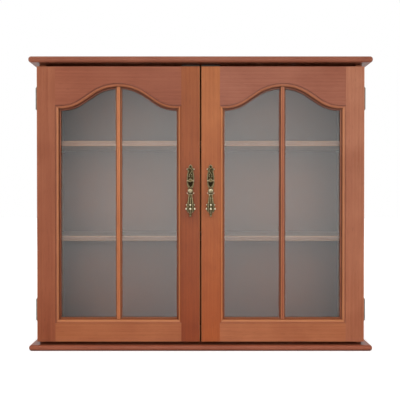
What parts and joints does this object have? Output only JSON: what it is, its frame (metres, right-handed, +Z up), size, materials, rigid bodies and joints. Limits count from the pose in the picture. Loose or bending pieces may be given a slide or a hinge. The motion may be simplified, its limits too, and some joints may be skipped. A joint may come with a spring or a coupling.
{
  "type": "wall display cabinet",
  "caption": "Shallow wooden wall cabinet with bullnosed top and base boards, glazed doors under arched rails, shelves behind the glass and brass drop pulls.",
  "frame": {"origin": "middle of the base board's underside", "axes": "+X to the right seen from the front, +Y towards the wall, +Z up; the doors face -Y"},
  "size_m": [0.6546, 0.2058, 0.5605],
  "materials": {
    "stained_hardwood": "satin lacquer over a cherry stain",
    "back_board": "stained veneered board",
    "beech_dowel": "bare",
    "clear_glass": "clear float glass",
    "antique_brass": "cast, darkened in the hollows",
    "bronzed_hinge": "dark bronzed steel",
    "steel_fixings": "plated",
    "catch_plastic": "moulded",
    "ferrite": "sintered"
  },
  "bodies": {
    "cabinet": {"back_panel": "back_board", "base_board": "stained_hardwood", "carcass_dowels": "beech_dowel", "case_hinge_screws": "steel_fixings", "catch_magnets": "ferrite", "catch_pole_plates": "steel_fixings", "catch_screws": "steel_fixings", "hanging_rail": "stained_hardwood", "hanging_rail_dowels": "beech_dowel", "hinge_pins": "bronzed_hinge", "left_catch_housing": "catch_plastic", "left_lower_case_leaf": "bronzed_hinge", "left_side_panel": "stained_hardwood", "left_upper_case_leaf": "bronzed_hinge", "lower_shelf": "stained_hardwood", "right_catch_housing": "catch_plastic", "right_lower_case_leaf": "bronzed_hinge", "right_side_panel": "stained_hardwood", "right_upper_case_leaf": "bronzed_hinge", "shelf_pins": "steel_fixings", "top_board": "stained_hardwood", "upper_shelf": "stained_hardwood"},
    "left_door": {"left_door_bead_pins": "steel_fixings", "left_door_bottom_rail": "stained_hardwood", "left_door_frame_dowels": "beech_dowel", "left_door_glass": "clear_glass", "left_door_glazing_beads": "stained_hardwood", "left_door_hinge_screws": "steel_fixings", "left_door_hinge_stile": "stained_hardwood", "left_door_meeting_stile": "stained_hardwood", "left_door_muntin": "stained_hardwood", "left_door_top_rail": "stained_hardwood", "left_lower_door_leaf": "bronzed_hinge", "left_pull_backplate": "antique_brass", "left_pull_pin": "antique_brass", "left_pull_screw": "steel_fixings", "left_strike_plate": "steel_fixings", "left_strike_screw": "steel_fixings", "left_upper_door_leaf": "bronzed_hinge"},
    "right_door": {"right_door_bead_pins": "steel_fixings", "right_door_bottom_rail": "stained_hardwood", "right_door_frame_dowels": "beech_dowel", "right_door_glass": "clear_glass", "right_door_glazing_beads": "stained_hardwood", "right_door_hinge_screws": "steel_fixings", "right_door_hinge_stile": "stained_hardwood", "right_door_meeting_stile": "stained_hardwood", "right_door_muntin": "stained_hardwood", "right_door_top_rail": "stained_hardwood", "right_lower_door_leaf": "bronzed_hinge", "right_pull_backplate": "antique_brass", "right_pull_pin": "antique_brass", "right_pull_screw": "steel_fixings", "right_strike_plate": "steel_fixings", "right_strike_screw": "steel_fixings", "right_upper_door_leaf": "bronzed_hinge"},
    "left_drop": {"left_pull_drop": "antique_brass"},
    "right_drop": {"right_pull_drop": "antique_brass"}
  },
  "joints": [
    {"name": "left_door_hinge", "type": "hinge", "parent": "cabinet", "child": "left_door", "pos_m": [-0.316, -0.0698, 0.2796], "axis": [0, 0, -1], "range_deg": [0, 180]},
    {"name": "left_drop_swing", "type": "hinge", "parent": "left_door", "child": "left_drop", "pos_m": [-0.0191, -0.1015, 0.324], "axis": [-1, 0, 0], "range_deg": [0, 110]},
    {"name": "right_door_hinge", "type": "hinge", "parent": "cabinet", "child": "right_door", "pos_m": [0.316, -0.0698, 0.2796], "axis": [0, 0, 1], "range_deg": [0, 180]},
    {"name": "right_drop_swing", "type": "hinge", "parent": "right_door", "child": "right_drop", "pos_m": [0.0191, -0.1015, 0.324], "axis": [-1, 0, 0], "range_deg": [0, 110]}
  ]
}
